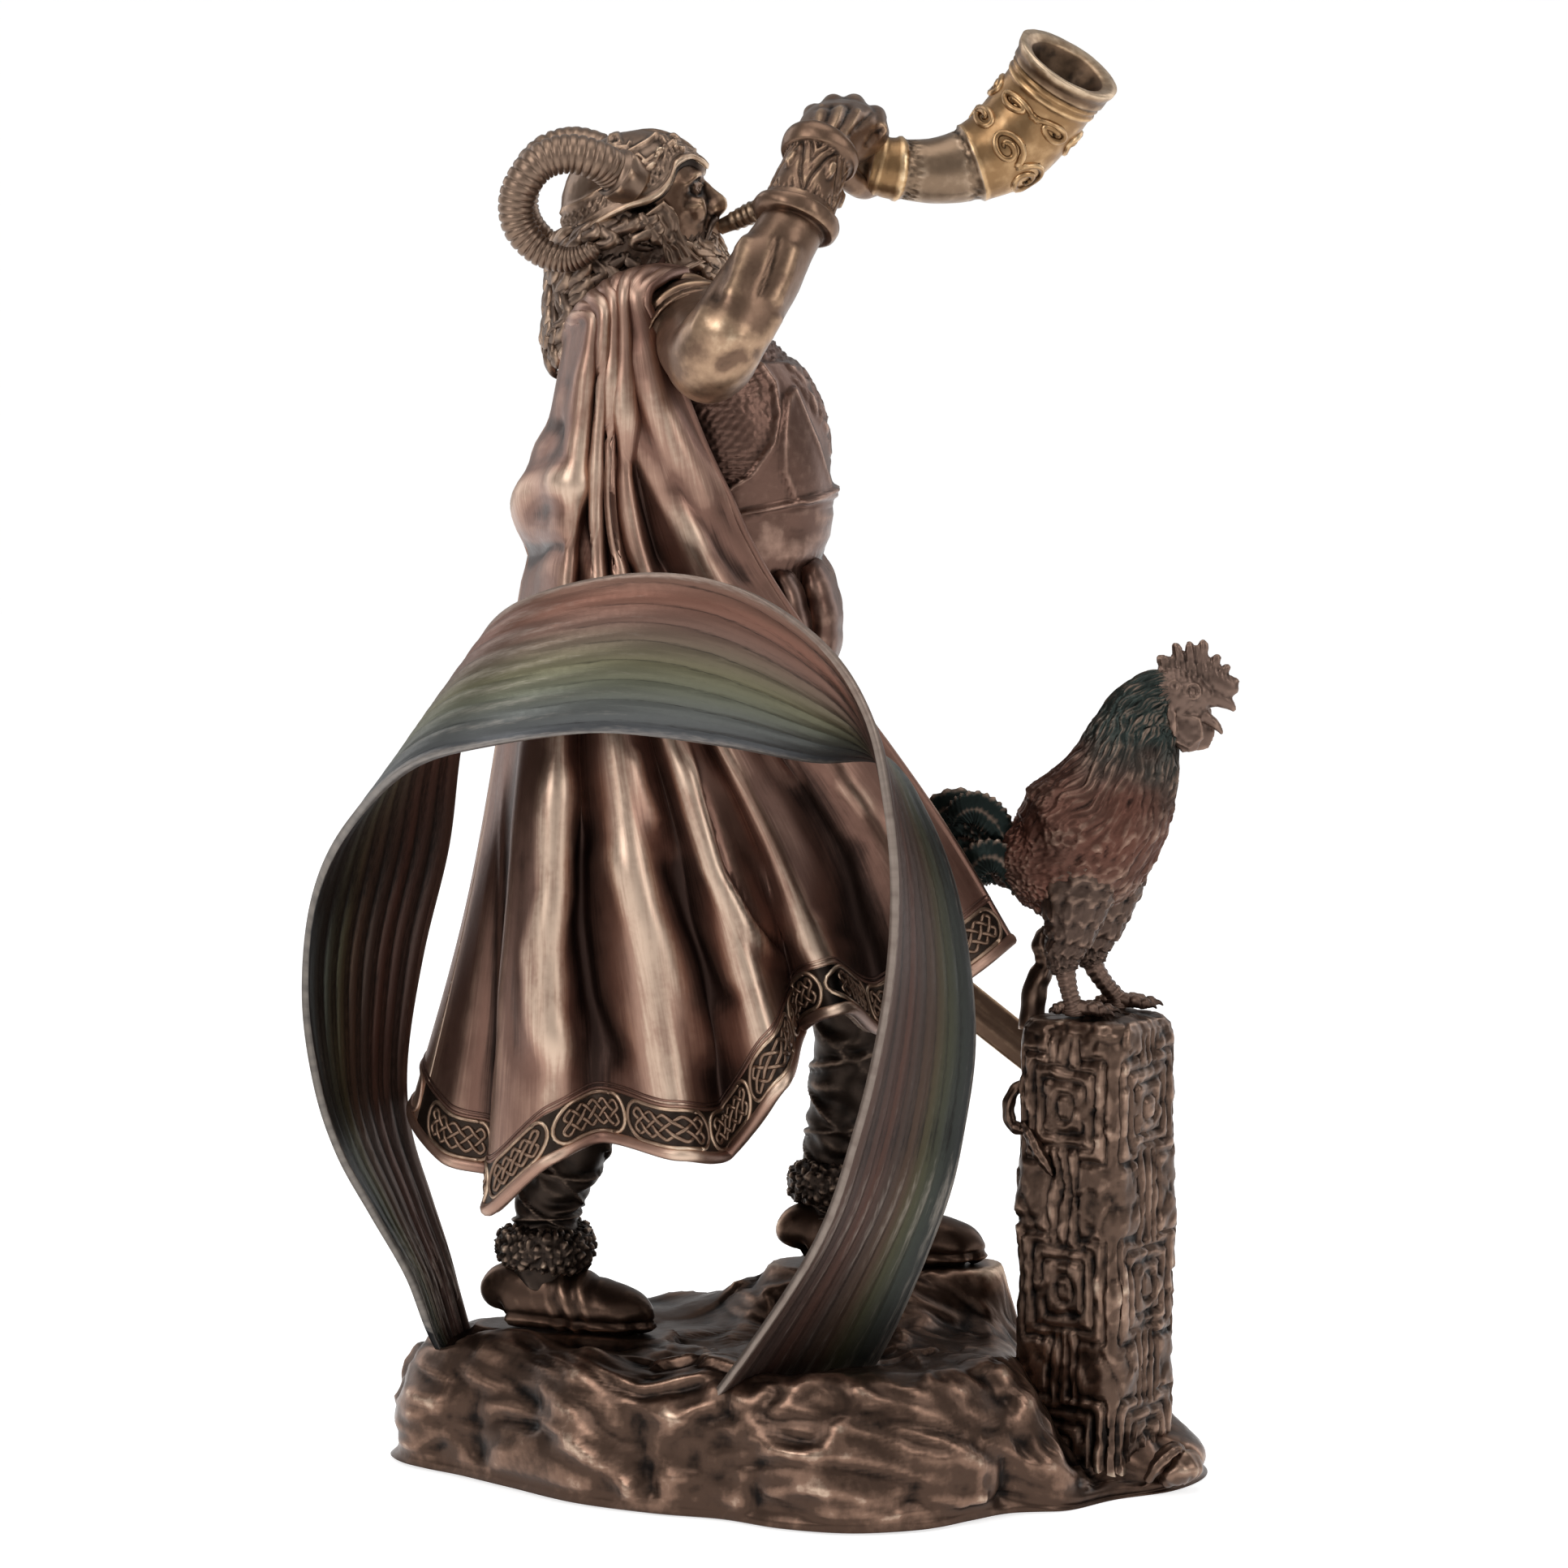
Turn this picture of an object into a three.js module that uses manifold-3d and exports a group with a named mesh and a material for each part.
import * as THREE from 'three';
import { mergeVertices } from 'three/addons/utils/BufferGeometryUtils.js';
import Module from 'manifold-3d';

// Lengths are in millimetres. +X is the way the figure faces, +Z is up, and the near
// side of the statue, which the cape and the arch of the ribbon turn to, is -Y.

const seatGap = 0.3;

// Rock: the edge of the underside, and the centre that its rings shrink towards.
const rockEdge = [
  [-73, 12], [-70, 2], [-60, -7], [-48, -19], [-36, -31], [-20, -40], [-6, -45], [6, -53], [20, -57],
  [34, -54], [43, -47], [52, -40], [62, -37], [72, -27.5], [84, -20], [91, -8], [90, 5], [80, 17],
  [66, 27], [46, 37], [22, 43], [-6, 42], [-32, 38], [-56, 30], [-68, 22],
];
const rockCentre = [8, -4];
const rockSides = 30;
const rockRings = [
  [0.985, 0], [1, 0.1], [1.005, 0.4], [0.975, 0.72], [0.92, 0.92], [0.82, 1], [0.6, 1], [0.32, 1],
];
const plateauHeight = 29;
const moundRise = 11.5;
const moundCentre = [27, 19];
const moundReach = [40, 27];
const pillarFloor = 3;
const pillarShelf = 13;

// Pillar: a square post turned about its own axis.
const pillarCentre = [69.9, -8.2];
const pillarWidth = 25.2;
const pillarTop = 96;
const pillarTurn = -35;
const pillarBevel = 2.4;
const keyCentres = [9, 42, 79];
const keySize = 20;
const keyGroove = 1.5;
const keyHeart = 7;
const keyDepth = 0.9;

// Ribbon: its two edges, station by station from the right foot over the arch to the left one.
const ribbonRedEdge = [
  [-13, -30, 18], [-7.6, -42, 24], [12, -57, 56.5], [20.7, -61, 80.7], [26.2, -63, 105.1],
  [28.1, -65, 127.8], [26.7, -66, 147], [22.9, -64, 164.1], [13.5, -60, 177.8], [-3, -56, 188.1],
  [-22.8, -50, 189.7], [-44.5, -40, 183.1], [-54.5, -24, 170.2], [-58.5, -8, 150], [-61.5, 3, 128.8],
  [-67, 8, 106.3], [-70.6, 11, 83.9], [-70.2, 12, 68.5], [-66.2, 12, 54], [-61.9, 11, 41],
  [-58, 9, 27], [-55, 8, 17],
];
const ribbonBlueEdge = [
  [12, -20, 18], [24.3, -30, 27.7], [37.8, -40, 60.4], [42.3, -38, 79.6], [44.1, -36, 98.8],
  [40.9, -35, 123.1], [34.5, -34, 140], [26.5, -33, 150.7], [12, -42, 152.4], [-7, -49, 156.5],
  [-29.1, -53, 159], [-51.4, -50, 155.9], [-67.7, -40, 149.7], [-80.7, -25, 135.4], [-88, -12, 118.7],
  [-90, -8, 99], [-87.6, -10, 81.4], [-83.2, -11, 68], [-76.4, -10, 55], [-69, -8, 41],
  [-64.4, -5, 26], [-59, -2, 16],
];
const ribbonThick = 1.7;
const ribbonRibs = 7;
const ribHeight = 0.45;
const ribbonBow = 1.6;
const ribbonSteps = 19;

// Cape: fold lines from the front edge round the back, each from shoulder to hem.
const capeFolds = [
  [[-20.4, -27, 242.1], [1.6, -24, 189.7], [36.5, -14, 137.9], [52.3, -13, 111.4]],
  [[-22.2, -28.2, 242.6], [-8.7, -33.6, 190.6], [25.8, -25, 137.7], [43.7, -23, 106.3]],
  [[-23.9, -27, 242], [-17.6, -28, 190.2], [15.3, -24.6, 133.1], [26.4, -24, 95.1]],
  [[-24.9, -30, 241.5], [-21.5, -34.4, 190.8], [5.6, -42.6, 133.9], [18.4, -46, 102.8]],
  [[-25.9, -27.4, 240.6], [-24, -29, 190.3], [1.6, -37.6, 131.8], [9.6, -38.6, 97.1]],
  [[-26.7, -31, 240], [-26.2, -35.6, 190.9], [-7.1, -49, 132], [6, -56, 89.1]],
  [[-27.8, -28.4, 239.1], [-28.3, -30, 190.4], [-13.5, -40.4, 132.3], [-4, -45, 74.1]],
  [[-28.6, -32, 238.5], [-30.2, -36.4, 191], [-23.7, -50, 134.9], [-13.4, -56, 75.5]],
  [[-29.7, -28.6, 237.5], [-33.6, -29, 190.3], [-33.1, -36, 133.3], [-28.8, -44, 76.9]],
  [[-31, -30, 236.8], [-35.9, -33.6, 190.6], [-39, -43.6, 134], [-39.9, -49, 72.9]],
  [[-32.4, -26, 235.7], [-40, -24, 189.7], [-47.1, -32.6, 130.7], [-51.4, -38, 60.9]],
  [[-34.1, -22, 233.7], [-41.4, -15, 188.7], [-47.4, -16, 125.3], [-51, -20, 65]],
  [[-35.8, -18, 231.8], [-43.6, -6, 187.7], [-52.6, -8, 123.8], [-61.6, -13, 66.8]],
  [[-37, -8, 228.6], [-44.6, 4, 188], [-56.4, 6, 121.7], [-68.6, 6, 73.6]],
  [[-36, 8, 227.6], [-41, 17.4, 188], [-48.8, 22, 122], [-58, 27, 77]],
  [[-30, 19, 231], [-32, 25, 189], [-38, 33, 122], [-42, 39, 85]],
];
const capeThick = 2.4;
const capeColumnSteps = 2;
const capeRowSteps = 8;
// Short cross folds that the belt pushes up at the back: height, push outwards, half height.
const backFolds = [[215, 2, 7], [200, 7, 8]];

// Body stations: x, y, z, half width across, half depth. The steps in them are the two belts,
// the fur cuffs and the rolled edges of the bracer.
const torso = [
  [-8, 2, 132, 17, 13], [-6, 2, 154, 19.4, 16.6], [-4.4, 1, 176, 19.6, 18.3],
  [-4.6, 0, 188.4, 19, 18.4], [-4.6, 0, 188.7, 20, 19.6], [-4.5, 0, 196.4, 20.6, 20],
  [-4.5, 0, 196.8, 20, 19.2], [-4.4, 0, 197.1, 20.8, 20.2], [-4.4, 0, 204.4, 21.4, 20],
  [-4.4, 0, 204.8, 20.6, 19.2], [-5, 0, 213, 21, 19], [-8, 1, 221, 22, 16.4],
  [-12.5, 2, 228.5, 22, 12.6], [-15, 1, 236, 17, 9.6],
  [-17, 0, 243, 9, 8.4], [-18, 0, 251, 7.5, 7.5],
];
const rearLeg = [
  [-12, -8, 158, 12, 12], [-17, -9, 130, 11.5, 11.5], [-22, -8, 106, 9, 9.5], [-30, -4, 86, 8.2, 8.6],
  [-36, 0, 68, 6.6, 7], [-40.8, 0.5, 57, 6.2, 6.4], [-41.4, 0.5, 56, 9, 9.2], [-42.2, 0.5, 49, 9.8, 10],
  [-42.4, 0.5, 47.6, 6.2, 6.4], [-42.4, 0.5, 38, 5, 5.4],
];
const frontLeg = [
  [-2, 10, 158, 12.5, 12.5], [9, 12, 128, 12, 12], [19.5, 14, 103, 9.2, 9.2], [21, 15, 92, 8.2, 8.4],
  [19.6, 16.5, 76, 7.4, 7.6], [17.8, 18, 63, 6.2, 6.6], [17.5, 18, 62, 8.2, 8.4], [17.2, 18, 55.4, 9, 9.2],
  [17.2, 18, 54, 6.2, 6.4], [17, 18, 46, 5, 5.4],
];
const legSides = 8;
// Boots: heel, toe and sole height, then half height and half width at steps from heel to toe.
const bootShape = [
  [0, 5, 3.4], [0.1, 7.4, 5.4], [0.35, 8.4, 6], [0.6, 6.6, 6.2], [0.85, 5, 5.8], [1, 3, 3],
];
const rearBoot = { heel: [-50.6, 4.5], toe: [-22.2, -6.5], sole: 29.6 };
const frontBoot = { heel: [10, 18], toe: [45.6, 17], sole: 39.4 };
const soleThick = 1.6;

const rightArm = [
  [-12, -10, 236, 8.4, 8.4], [-9.7, -24, 235, 9.5, 9.8], [-8.3, -36, 232.6, 9.4, 9.6],
  [-7.4, -44.5, 231.6, 8.6, 8.6], [-4.4, -49, 236.4, 8.2, 8.6], [1.7, -46, 246.2, 7.4, 7.8],
  [6, -43, 253.1, 6.6, 7], [8.2, -40.7, 256.9, 6.2, 6.6], [8.6, -40.2, 257.9, 7.8, 8],
  [9.5, -38.9, 260.2, 7.7, 7.9], [9.9, -38.4, 261, 7, 7.2], [12.9, -31.2, 268.4, 6.1, 6.3],
  [13.2, -30.5, 269.1, 7, 7.2], [14.2, -28.4, 271.3, 6.8, 7], [14.6, -27.8, 272.2, 4.8, 5],
];
const rightFist = [
  [14.4, -28, 271.6, 4.8, 4.8], [15.6, -24, 273.4, 7, 6.4], [17.8, -18, 274.2, 8.4, 7.2],
  [20.1, -13, 273.8, 8, 7], [22, -9, 272.4, 7, 6.4], [23, -6.4, 270.8, 4.4, 4.4],
];
const leftArm = [
  [-11, 16, 232, 9, 9], [-10.5, 27, 230, 8.6, 9], [-12, 33, 214, 8, 8.2], [-14, 36.5, 196, 6.8, 7.4],
  [-14.5, 37, 188, 7, 7.6], [-15, 37, 172, 6, 6.6], [-15.5, 36.5, 157, 4.6, 5], [-16, 36.5, 151, 4.4, 4.8],
];
const leftFist = [
  [-16, 36.5, 154, 4.2, 4.6], [-16.3, 36.5, 149, 6.2, 7.4], [-16.5, 36.5, 142, 6.6, 8],
  [-16.8, 36.5, 136, 5.2, 6.6], [-17, 36.5, 133.4, 2.4, 3.4],
];
const pauldron = [
  [-18, -9, 240, 7, 8], [-17, -14, 240, 10, 10.6], [-15.4, -20, 237.5, 11, 11.6],
  [-13.8, -26, 234.6, 10.4, 11], [-13.2, -28, 233.6, 8.6, 9],
];
const farPauldron = [
  [-17, 12, 238, 7, 8], [-16, 17, 238, 10, 10.4], [-13.6, 24, 234.5, 10.6, 11], [-12, 30, 230, 9.6, 10],
  [-11.8, 31.6, 228.6, 7.6, 8],
];
const tasset = [
  [6, -8, 184, 7, 4], [9, -8, 180, 9, 6], [11, -8, 172, 9, 6.6], [10, -8, 164, 6, 5],
];

// Head and what covers it.
const headTilt = 9;
const headPivot = [-18, 0, 248];
const skull = [
  [-11.5, 0, 243, 3.4, 4], [-13.5, 0, 245.5, 6.6, 7.4], [-16, 0, 250, 8.6, 10.6],
  [-17.5, 0, 256, 9.6, 12.4], [-18.5, 0, 262, 10, 12.8], [-19, 0, 267, 9, 11.4], [-19, 0, 271, 5, 6.4],
];
const nose = [
  [-5.9, 0, 259.6, 1, 1], [-4.6, 0, 256, 1.5, 1.8], [-3.8, 0, 253, 2.1, 2.2], [-5.4, 0, 251.6, 1.6, 1.2],
];
const helmet = [
  [-24, 0, 249, 9.6, 12], [-22.4, 0, 254, 11.6, 13.8], [-21.7, 0, 259.4, 12.3, 14.3],
  [-21.6, 0, 260, 13.2, 15.4], [-21.4, 0, 263.4, 13, 15], [-21.3, 0, 264, 11.9, 13.8],
  [-21.4, 0, 269.5, 9, 10.4], [-22, 0, 272.6, 5, 6], [-22, 0, 273.6, 1.6, 2],
];
const cheekGuard = [
  [-13.5, -9.4, 261, 2, 4.6], [-13, -10, 256, 2, 5], [-12, -9.4, 250.5, 2, 4.2], [-10.8, -8.2, 247, 1.6, 2.2],
];
const ramHorn = [
  [-25.5, -11, 264.5, 3.6, 3.8], [-30, -13.5, 267.8, 4.2, 4.2], [-36, -14.4, 269.4, 3.9, 3.9],
  [-42, -14.4, 267.4, 3.7, 3.7], [-46, -14, 261.6, 3.6, 3.6], [-46, -13.8, 255.4, 3.4, 3.4],
  [-42, -13.6, 250.4, 3, 3], [-36, -14, 248.8, 2.4, 2.4], [-31.4, -14.6, 250, 1.4, 1.4],
  [-29.4, -15, 251.4, 0.6, 0.6],
];
const hairLocks = [
  [[-27, -10, 252, 6, 5], [-34, -10, 241, 6, 5], [-37, -9, 230, 5.4, 3.8], [-37, -8, 223, 1.8, 1.4]],
  [[-28, 3, 254, 8, 6], [-37, 4, 243, 8, 5.4], [-39.6, 4, 231, 7, 4], [-39.6, 4, 222, 1.8, 1.4]],
];
const hairCap = [[-26, 0, 256, 11, 9], [-28, 0, 248, 12, 9.6], [-30, 0, 238, 12.4, 8.6], [-33, 0, 227, 6, 4]];
const beard = [
  [-13, 0, 253, 7, 6.4], [-9.6, 0, 249.4, 7.4, 6.6], [-7, 0, 245.4, 6.4, 5.6], [-6, 0, 240.6, 4.4, 4.2],
  [-6.6, 0, 236.6, 1.6, 1.6],
];

// Blowing horn: x, y, z and radius along its centre line, and the depth of the open bell.
const hornLine = [
  [-2.6, -1.5, 255.2, 1.6], [-0.6, -2.5, 256.6, 2.2], [4.6, -5, 259.4, 2.6], [12.6, -9, 264, 3.6],
  [20.6, -12, 268.2, 4.4], [28.4, -12, 266.4, 5.5], [36.4, -10, 265.8, 6.3], [43.8, -8.6, 267.2, 7.3],
  [51, -7.6, 271, 8.7], [56.6, -7, 277.2, 9.2], [60.6, -8.6, 283, 9.3], [63.2, -10.2, 287.2, 9.8],
];
const hornSides = 12;
const bellMouth = 8;
const bellWaist = 5.8;
const bellFloor = 2;
const bellDepth = 17;

// Vine on the pillar: a stem behind the rooster's near leg, and a leaf on the left corner.
const vines = [
  [[56.6, -5.4, 92, 2.6, 2.6], [57.4, -4.6, 100.3, 2.4, 2.4], [59.4, -4.4, 105.6, 1.9, 1.9],
    [58.8, -4.4, 109.7, 2, 2], [59.6, -4.4, 113, 0.9, 0.9]],
  [[54.2, -9.6, 79, 1, 1], [53.2, -10.4, 74, 2.4, 2.4], [54.2, -11.8, 67.6, 2.2, 2.2],
    [55.4, -12.2, 62, 0.9, 0.9]],
];

// Sword: a straight line from the pommel to the tip, held in the lowered left hand.
const swordTop = [-30.5, 38.6, 150.6];
const swordTip = [79, 16, 66];
const bladeWidth = 8.3;
const bladeThick = 2.6;
const bladeStart = 0.25;
const gripRadius = 2;
const guardReach = 8.5;

// Rooster: x, z and half height of the body line, then narrower parts.
const roosterY = -8;
const roosterBody = [
  [50.6, 124.1, 2.6], [54, 125.1, 6], [58.3, 126.8, 9.8], [64.3, 130.1, 14], [70.6, 136.7, 13.4],
  [74.9, 145.3, 11], [77.4, 152.7, 8.6], [79.4, 157.8, 7.2], [82.4, 160.8, 6.2], [86.2, 161.6, 4.9],
  [89.8, 160.7, 3.8], [91.6, 160.2, 2.2],
];
const roosterFlat = 0.74;
const roosterLegs = [[64.4, -13, 65, -13], [70.4, -3, 74, -3]];
const roosterToes = [[8, -12], [8.6, 14], [7, 40], [-5, 8]];
const tailFeathers = [
  [[53, -8.4, 124], [47, -5, 134.6], [40, -2, 137], [33, 0, 129], [29.5, 1, 114]],
  [[52, -4, 120], [45.5, 1, 130], [39, 4, 130], [33, 6, 119], [31.5, 7, 106]],
  [[57, -7, 119.6], [47, -3, 121.6], [40.6, 1, 118], [36.8, 3, 110], [35.5, 4, 101]],
];
// Upper beak, lower beak and wattle: x, z, half width, half depth.
const roosterFace = [
  [[88, 160.6, 2.2, 2.6], [92, 160.6, 1.6, 1.7], [96.4, 158.4, 0.4, 0.4]],
  [[88, 157.4, 1.8, 1.6], [91.4, 156.6, 1.2, 1], [93.9, 154.8, 0.4, 0.4]],
  [[88, 158, 2, 2.4], [88.6, 154.6, 2.2, 2.4], [88.4, 151.4, 1, 1]],
];
// Comb seen from the side: x and z of its root, then of its spikes and the notches between them.
const combOutline = [
  [92.6, 160], [80, 162.4], [81.2, 166.6], [79.9, 172], [83.1, 169.2], [82.9, 172.6], [85.4, 170],
  [85.9, 172.7], [87.8, 169.6], [89.4, 171.6], [90.2, 168], [92.4, 169.2], [92.2, 165.8],
  [94.8, 165.6], [93.6, 162.6],
];
const combThick = 2;

const wasm = await Module();
wasm.setup();

function vec(p) {
  return new THREE.Vector3(p[0], p[1], p[2]);
}

function mix(a, b, t) {
  return a.map((value, k) => value + (b[k] - value) * t);
}

function meshData(points, faces) {
  const geometry = new THREE.BufferGeometry();
  const flat = points.flatMap((p) => p.toArray());
  geometry.setAttribute('position', new THREE.Float32BufferAttribute(flat, 3));
  geometry.setIndex(faces);
  return geometry;
}

// A closed skin over rings of equal length, with a fan over each end ring.
function skin(rings, firstTip, lastTip) {
  const sides = rings[0].length;
  const points = rings.flat();
  const faces = [];
  for (let r = 0; r < rings.length - 1; r += 1) {
    for (let s = 0; s < sides; s += 1) {
      const next = (s + 1) % sides;
      const a = r * sides + s;
      const b = r * sides + next;
      faces.push(a, b, b + sides, a, b + sides, a + sides);
    }
  }
  const last = (rings.length - 1) * sides;
  for (let s = 0; s < sides; s += 1) {
    const next = (s + 1) % sides;
    faces.push(points.length, next, s);
    faces.push(points.length + 1, last + s, last + next);
  }
  points.push(firstTip, lastTip);
  return meshData(points, faces);
}

function middle(ring) {
  return ring.reduce((sum, p) => sum.add(p), new THREE.Vector3()).divideScalar(ring.length);
}

// A limb: elliptical rings square to its path. `across` is the direction of the first half size.
function limb(stations, sides, across = [0, 1, 0], place = null) {
  const centres = stations.map(vec);
  const rings = stations.map((station, i) => {
    const ahead = centres[Math.min(i + 1, centres.length - 1)];
    const behind = centres[Math.max(i - 1, 0)];
    const along = ahead.clone().sub(behind).normalize();
    const wide = vec(across).addScaledVector(along, -vec(across).dot(along)).normalize();
    const deep = along.clone().cross(wide);
    const ring = [];
    for (let s = 0; s < sides; s += 1) {
      const angle = (s / sides) * Math.PI * 2;
      const point = centres[i].clone()
        .addScaledVector(wide, Math.cos(angle) * station[3])
        .addScaledVector(deep, Math.sin(angle) * station[4]);
      ring.push(place ? place(point) : point);
    }
    return ring;
  });
  return skin(rings, middle(rings[0]), middle(rings[rings.length - 1]));
}

// A sheet of even thickness over surface(u, v), closed round its four sides.
function sheet(surface, columns, rows, thick) {
  const step = 1e-3;
  const front = [];
  const back = [];
  for (let i = 0; i <= columns; i += 1) {
    for (let j = 0; j <= rows; j += 1) {
      const u = i / columns;
      const v = j / rows;
      const point = surface(u, v);
      const du = surface(Math.min(u + step, 1), v).sub(surface(Math.max(u - step, 0), v));
      const dv = surface(u, Math.min(v + step, 1)).sub(surface(u, Math.max(v - step, 0)));
      const normal = du.cross(dv).normalize();
      front.push(point.clone().addScaledVector(normal, thick / 2));
      back.push(point.clone().addScaledVector(normal, -thick / 2));
    }
  }
  const at = (i, j, side) => side * front.length + i * (rows + 1) + j;
  const faces = [];
  const quad = (a, b, c, d) => faces.push(a, b, c, a, c, d);
  for (let i = 0; i < columns; i += 1) {
    for (let j = 0; j < rows; j += 1) {
      quad(at(i, j, 0), at(i + 1, j, 0), at(i + 1, j + 1, 0), at(i, j + 1, 0));
      quad(at(i, j, 1), at(i, j + 1, 1), at(i + 1, j + 1, 1), at(i + 1, j, 1));
    }
    quad(at(i, 0, 0), at(i, 0, 1), at(i + 1, 0, 1), at(i + 1, 0, 0));
    quad(at(i, rows, 0), at(i + 1, rows, 0), at(i + 1, rows, 1), at(i, rows, 1));
  }
  for (let j = 0; j < rows; j += 1) {
    quad(at(0, j, 0), at(0, j + 1, 0), at(0, j + 1, 1), at(0, j, 1));
    quad(at(columns, j, 0), at(columns, j, 1), at(columns, j + 1, 1), at(columns, j + 1, 0));
  }
  return meshData([...front, ...back], faces);
}

function solid(geometry) {
  const clean = geometry.clone();
  clean.deleteAttribute('normal');
  clean.deleteAttribute('uv');
  const welded = mergeVertices(clean, 1e-4);
  return new wasm.Manifold(new wasm.Mesh({
    numProp: 3,
    vertProperties: new Float32Array(welded.attributes.position.array),
    triVerts: new Uint32Array(welded.index.array),
  }));
}

function join(parts) {
  const bodies = parts.map((part) => (part.isBufferGeometry ? solid(part) : part));
  return bodies.reduce((sum, body) => sum.add(body));
}

function cut(body, tools) {
  return tools.reduce((left, tool) => left.subtract(tool), body);
}

// The same body moved by the gap in each direction, so that what it is cut from stands clear of it.
function clearance(body, directions) {
  return join(directions.map((direction) => body.translate(direction.map((part) => part * seatGap))));
}

function nodeOf(name, body, finish) {
  const result = body.getMesh();
  const geometry = new THREE.BufferGeometry();
  geometry.setAttribute('position', new THREE.Float32BufferAttribute(Array.from(result.vertProperties), 3));
  geometry.setIndex(Array.from(result.triVerts));
  geometry.computeVertexNormals();
  const mesh = new THREE.Mesh(geometry, new THREE.MeshStandardMaterial(finish));
  mesh.name = name;
  return mesh;
}

function bump(distance, reach) {
  return Math.exp(-((distance / reach) ** 2));
}

function smoothStep(from, to, value) {
  const t = THREE.MathUtils.clamp((value - from) / (to - from), 0, 1);
  return t * t * (3 - 2 * t);
}

// Height of the rock's upper side: a plateau, a mound under the forward boot, and low ground
// round the pillar's foot.
function rockHeight(x, y) {
  const away = Math.hypot((x - moundCentre[0]) / moundReach[0], (y - moundCentre[1]) / moundReach[1]);
  const mound = moundRise * smoothStep(1, 0.42, away);
  const ripple = 0.7 * Math.sin(x * 0.24 + y * 0.1) + 0.5 * Math.sin(y * 0.33 - x * 0.08);
  const calm = smoothStep(0.3, 0.9, away);
  const high = plateauHeight + mound + ripple * calm;
  const low = pillarShelf - 8 * smoothStep(-6, -26, y);
  return THREE.MathUtils.lerp(high, low, smoothStep(46, 60, x + 0.2 * y));
}

// Points at even steps round a closed outline.
function closedLine(corners, count) {
  const curve = new THREE.CatmullRomCurve3(corners.map(([x, y]) => new THREE.Vector3(x, y, 0)), true);
  return Array.from({ length: count }, (_, i) => curve.getPointAt(i / count).toArray().slice(0, 2));
}

function rockBody() {
  const edge = closedLine(rockEdge, rockSides);
  const rings = rockRings.map(([reach, share]) => edge.map((p, i) => {
    const facet = 1 + 0.014 * Math.sin(i * 1.9) * Math.min(share * 3, 1);
    const x = rockCentre[0] + (p[0] - rockCentre[0]) * reach * facet;
    const y = rockCentre[1] + (p[1] - rockCentre[1]) * reach * facet;
    return new THREE.Vector3(x, y, share * rockHeight(x, y));
  }));
  const base = new THREE.Vector3(rockCentre[0], rockCentre[1], 0);
  const top = new THREE.Vector3(rockCentre[0], rockCentre[1], rockHeight(...rockCentre));
  return solid(skin(rings, base, top));
}

function block(size, centre) {
  return new THREE.BoxGeometry(...size).translate(...centre);
}

// A square ring of groove round a sunk square, on the face x = half.
function keySquare(height, half) {
  const [outer, inner, heart] = [keySize, keySize - 2 * keyGroove, keyHeart].map((size) => (
    solid(block([keyDepth * 2, size, size], [half, 0, height]))
  ));
  return outer.subtract(inner).add(heart);
}

function placedPillar(body) {
  return body.rotate([0, 0, pillarTurn]).translate([...pillarCentre, 0]);
}

function plainPost() {
  const half = pillarWidth / 2;
  const corners = [];
  for (let i = 0; i < 4; i += 1) {
    const turn = (i * Math.PI) / 2;
    [[half, -half + pillarBevel], [half, half - pillarBevel]].forEach(([x, y]) => {
      corners.push([x * Math.cos(turn) - y * Math.sin(turn), x * Math.sin(turn) + y * Math.cos(turn)]);
    });
  }
  const levels = [[pillarFloor + seatGap, 1], [pillarTop - pillarBevel * 1.6, 1], [pillarTop, 0.86]];
  const rings = levels.map(([z, scale]) => (
    corners.map(([x, y]) => new THREE.Vector3(x * scale, y * scale, z))
  ));
  return solid(skin(rings, middle(rings[0]), middle(rings[2])));
}

function keyGrooves() {
  const turns = [0, 90, 180, 270];
  return turns.flatMap((turn) => (
    keyCentres.map((height) => keySquare(height, pillarWidth / 2).rotate([0, 0, turn]))
  ));
}

function smoothLine(points) {
  return new THREE.CatmullRomCurve3(points, false, 'catmullrom');
}

function ribbonBody() {
  const red = smoothLine(ribbonRedEdge.map(vec));
  const blue = smoothLine(ribbonBlueEdge.map(vec));
  const surface = (u, v) => {
    const step = 2e-3;
    const a = red.getPoint(v);
    const b = blue.getPoint(v);
    const across = b.clone().sub(a);
    const along = red.getPoint(Math.min(v + step, 1)).add(blue.getPoint(Math.min(v + step, 1)))
      .sub(red.getPoint(Math.max(v - step, 0))).sub(blue.getPoint(Math.max(v - step, 0)));
    const normal = along.clone().cross(across).normalize();
    const bow = ribbonBow * 4 * u * (1 - u);
    const rib = ribHeight * Math.cos(u * ribbonRibs * Math.PI * 2);
    return a.addScaledVector(across, u).addScaledVector(normal, bow + rib);
  };
  return solid(sheet(surface, ribbonRibs * 2, ribbonSteps, ribbonThick));
}

function capeBody() {
  const levels = [0, 1, 2, 3].map((k) => smoothLine(capeFolds.map((fold) => vec(fold[k]))));
  const surface = (u, v) => {
    const line = smoothLine(levels.map((level) => level.getPoint(u)));
    const point = line.getPoint(v);
    const atBack = bump(u * (capeFolds.length - 1) - 12.4, 1.7);
    backFolds.forEach(([height, push, reach]) => {
      point.x -= push * atBack * bump(point.z - height, reach);
    });
    return point;
  };
  return sheet(surface, (capeFolds.length - 1) * capeColumnSteps, capeRowSteps, capeThick);
}

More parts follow.
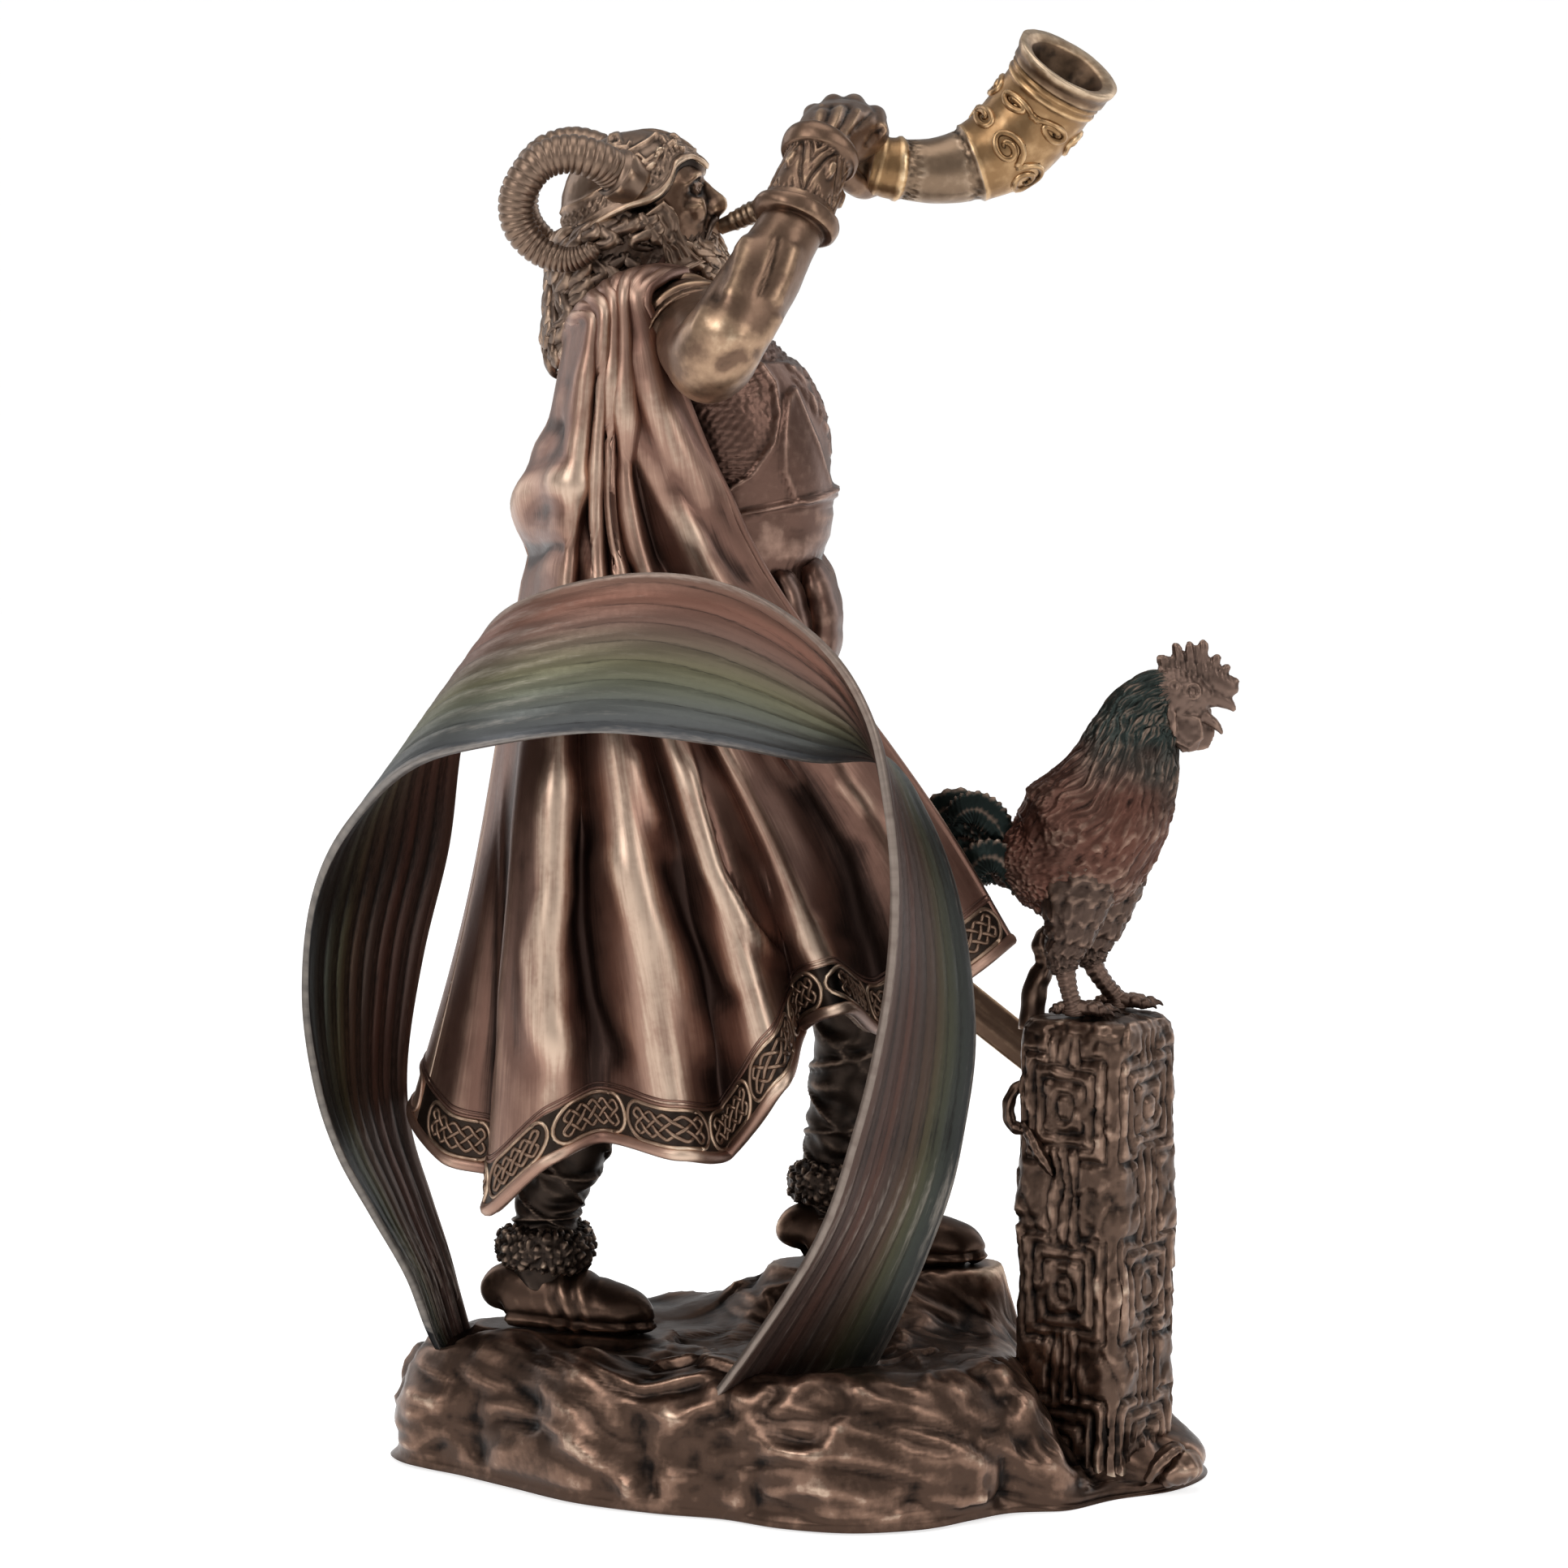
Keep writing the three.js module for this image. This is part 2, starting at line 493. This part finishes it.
function boot({ heel, toe, sole }) {
  const direction = [toe[0] - heel[0], toe[1] - heel[1]];
  const stations = bootShape.map(([t, high, wide]) => [
    heel[0] + direction[0] * t, heel[1] + direction[1] * t, sole + high * 0.94, high, wide,
  ]);
  const keep = (point) => {
    point.z = Math.max(point.z, sole + soleThick * 0.5);
    return point;
  };
  const upper = limb(stations, legSides, [0, 0, 1], keep);
  const outline = bootShape.map(([t, , wide]) => [t, wide + 0.5]);
  const length = Math.hypot(...direction);
  const sideways = [-direction[1] / length, direction[0] / length];
  const rim = (offset) => [...outline.map(([t, w]) => [t, -w]), ...outline.map(([t, w]) => [t, w]).reverse()]
    .map(([t, w]) => new THREE.Vector3(
      heel[0] + direction[0] * t + sideways[0] * w,
      heel[1] + direction[1] * t + sideways[1] * w,
      sole + offset,
    ));
  const rings = [rim(0), rim(soleThick)];
  return join([upper, skin(rings, middle(rings[0]), middle(rings[1]))]);
}

// Flat seat for a boot: a block over its outline that is cut out of the rock.
function bootSeat({ heel, toe, sole }) {
  const length = Math.hypot(toe[0] - heel[0], toe[1] - heel[1]) + 2;
  const turn = THREE.MathUtils.radToDeg(Math.atan2(toe[1] - heel[1], toe[0] - heel[0]));
  const seat = solid(block([length, 15, 20], [0, 0, 10]));
  const centre = mix(heel, toe, 0.5);
  return seat.rotate([0, 0, turn]).translate([...centre, sole - seatGap]);
}

function tilted(point) {
  const away = point.clone().sub(vec(headPivot));
  away.applyAxisAngle(new THREE.Vector3(0, 1, 0), THREE.MathUtils.degToRad(-headTilt));
  return away.add(vec(headPivot));
}

function mirrored(stations) {
  return stations.map((row) => [row[0], -row[1], ...row.slice(2)]);
}

// The sword, or with `grow` above 0 the room that it needs in the fist.
function swordBody(grow) {
  const line = vec(swordTip).sub(vec(swordTop));
  const at = (t) => vec(swordTop).addScaledVector(line, t).toArray();
  const across = [line.z, 0, -line.x];
  const blade = [[bladeStart, 1, 1], [0.94, 0.86, 0.9], [1, 0.1, 0.3]].map(([t, w, h]) => (
    [...at(t), (bladeWidth / 2) * w + grow, (bladeThick / 2) * h + grow]
  ));
  const grip = [0.03, 0.24].map((t) => [...at(t), gripRadius + grow, gripRadius + grow]);
  const pommel = [[0, 1.6], [0.012, 3.4], [0.036, 3.4], [0.05, 1.8]]
    .map(([t, radius]) => [...at(t), radius + grow, radius + grow]);
  const guard = [[0.222, 1.6, 1], [0.225, guardReach, 2], [0.25, guardReach, 2], [0.254, 3, 1]]
    .map(([t, w, h]) => [...at(t), w + grow, h + grow]);
  return join([
    limb(blade, 4, across), limb(grip, 6, across), limb(pommel, 6, across), limb(guard, 6, across),
  ]);
}

function hornShell(grow) {
  const rows = hornLine.map(([x, y, z, radius]) => [x, y, z, radius + grow, radius + grow]);
  return limb(rows, hornSides);
}

function hornBody() {
  const mouth = vec(hornLine[hornLine.length - 1]);
  const inward = vec(hornLine[hornLine.length - 3]).sub(mouth).normalize();
  const profile = [[-1, bellMouth], [0, bellMouth], [bellDepth / 2, bellWaist], [bellDepth, bellFloor]];
  const cavity = profile.map(([depth, radius]) => {
    const centre = mouth.clone().addScaledVector(inward, depth);
    return [...centre.toArray(), radius, radius];
  });
  return solid(hornShell(0)).subtract(solid(limb(cavity, hornSides)));
}

function roosterBodyShape() {
  const body = roosterBody.map(([x, z, r]) => [x, roosterY, z, r * roosterFlat, r]);
  const parts = [limb(body, 10)];
  roosterLegs.forEach(([hipX, y, footX, footY]) => {
    parts.push(limb([
      [hipX + 1, y, 125, 5, 6], [hipX, y, 116, 4.4, 4.8], [hipX - 1.4, y, 108, 2.4, 2.6],
      [footX - 0.6, footY, 101, 1.5, 1.5], [footX, footY, pillarTop + seatGap + 0.2, 1.6, 1.6],
    ], 5));
    roosterToes.forEach(([length, turn]) => {
      const angle = THREE.MathUtils.degToRad(turn - 14);
      const tip = [footX + length * Math.cos(angle), footY + length * Math.sin(angle) * Math.sign(length)];
      parts.push(limb([
        [footX - Math.sign(length), footY, pillarTop + 1.9, 1.4, 1.4],
        [...mix([footX, footY], tip, 0.6), pillarTop + 1.7, 1.2, 1.2],
        [...tip, pillarTop + 1, 0.5, 0.6],
      ], 4));
    });
  });
  tailFeathers.forEach((line) => {
    const widths = [[2.4, 3], [3.4, 3.4], [3, 3.4], [2.4, 3], [0.6, 0.8]];
    parts.push(limb(line.map((p, i) => [...p, ...widths[i]]), 4));
  });
  const comb = new THREE.Shape(combOutline.map(([x, z]) => new THREE.Vector2(x, z)));
  const plate = new THREE.ExtrudeGeometry(comb, { depth: combThick, bevelEnabled: false });
  parts.push(plate.rotateX(Math.PI / 2).translate(0, roosterY + combThick / 2, 0));
  roosterFace.forEach((rows) => {
    parts.push(limb(rows.map(([x, z, across, deep]) => [x, roosterY, z, across, deep]), 5));
  });
  return join(parts);
}

function figureBody() {
  const parts = [
    limb(torso, 10), limb(rearLeg, legSides), limb(frontLeg, legSides), boot(rearBoot), boot(frontBoot),
    capeBody(), limb(tasset, 6), limb(pauldron, 8, [1, 0, 0]), limb(farPauldron, 6, [1, 0, 0]),
    limb(rightArm, 8, [1, 0, 0.3]), limb(rightFist, 8, [1, 0, 0]), limb(leftArm, 6, [1, 0, 0]),
    limb(leftFist, 8, [1, 0, 0]), limb(hairCap, 8), limb(ramHorn, 6), limb(mirrored(ramHorn), 6),
  ];
  [[skull, 8], [nose, 5], [helmet, 10], [beard, 8], [cheekGuard, 4], [mirrored(cheekGuard), 4]]
    .forEach(([stations, sides]) => parts.push(limb(stations, sides, [0, 1, 0], tilted)));
  hairLocks.forEach((lock) => parts.push(limb(lock, 5)));
  return join(parts);
}

const bronze = { color: 0x5a4233, roughness: 0.38, metalness: 0.9 };
const capeBronze = { color: 0x7a5546, roughness: 0.32, metalness: 0.9 };
const darkBronze = { color: 0x47352a, roughness: 0.45, metalness: 0.85 };
const paintedBand = { color: 0x6b5a50, roughness: 0.45, metalness: 0.6 };
const goldBronze = { color: 0x9a7048, roughness: 0.34, metalness: 0.95 };
const featherBronze = { color: 0x4a3a34, roughness: 0.45, metalness: 0.8 };
const steelBronze = { color: 0x5b463a, roughness: 0.35, metalness: 0.9 };

const post = plainPost();
const pillar = join([placedPillar(cut(post, keyGrooves())), ...vines.map((vine) => limb(vine, 6))]);
const socket = clearance(placedPillar(post), [[0, 0, -1], [1, 0, 0], [-1, 0, 0], [0, 1, 0], [0, -1, 0]]);
const rock = cut(rockBody(), [socket, bootSeat(rearBoot), bootSeat(frontBoot)]);
const figure = cut(figureBody(), [solid(hornShell(seatGap)), swordBody(seatGap)]);
const ribbon = cut(ribbonBody(), [clearance(rock, [[0, 0, 1], [-1, 0, 0], [0, -1, 0]])]);

const statue = new THREE.Group();
statue.add(nodeOf('rock_base', rock, darkBronze));
statue.add(nodeOf('carved_pillar', pillar, bronze));
statue.add(nodeOf('rooster', roosterBodyShape(), featherBronze));
statue.add(nodeOf('figure', figure, capeBronze));
statue.add(nodeOf('blowing_horn', hornBody(), goldBronze));
statue.add(nodeOf('rainbow_ribbon', ribbon, paintedBand));
statue.add(nodeOf('sword', swordBody(0), steelBronze));

export default statue;
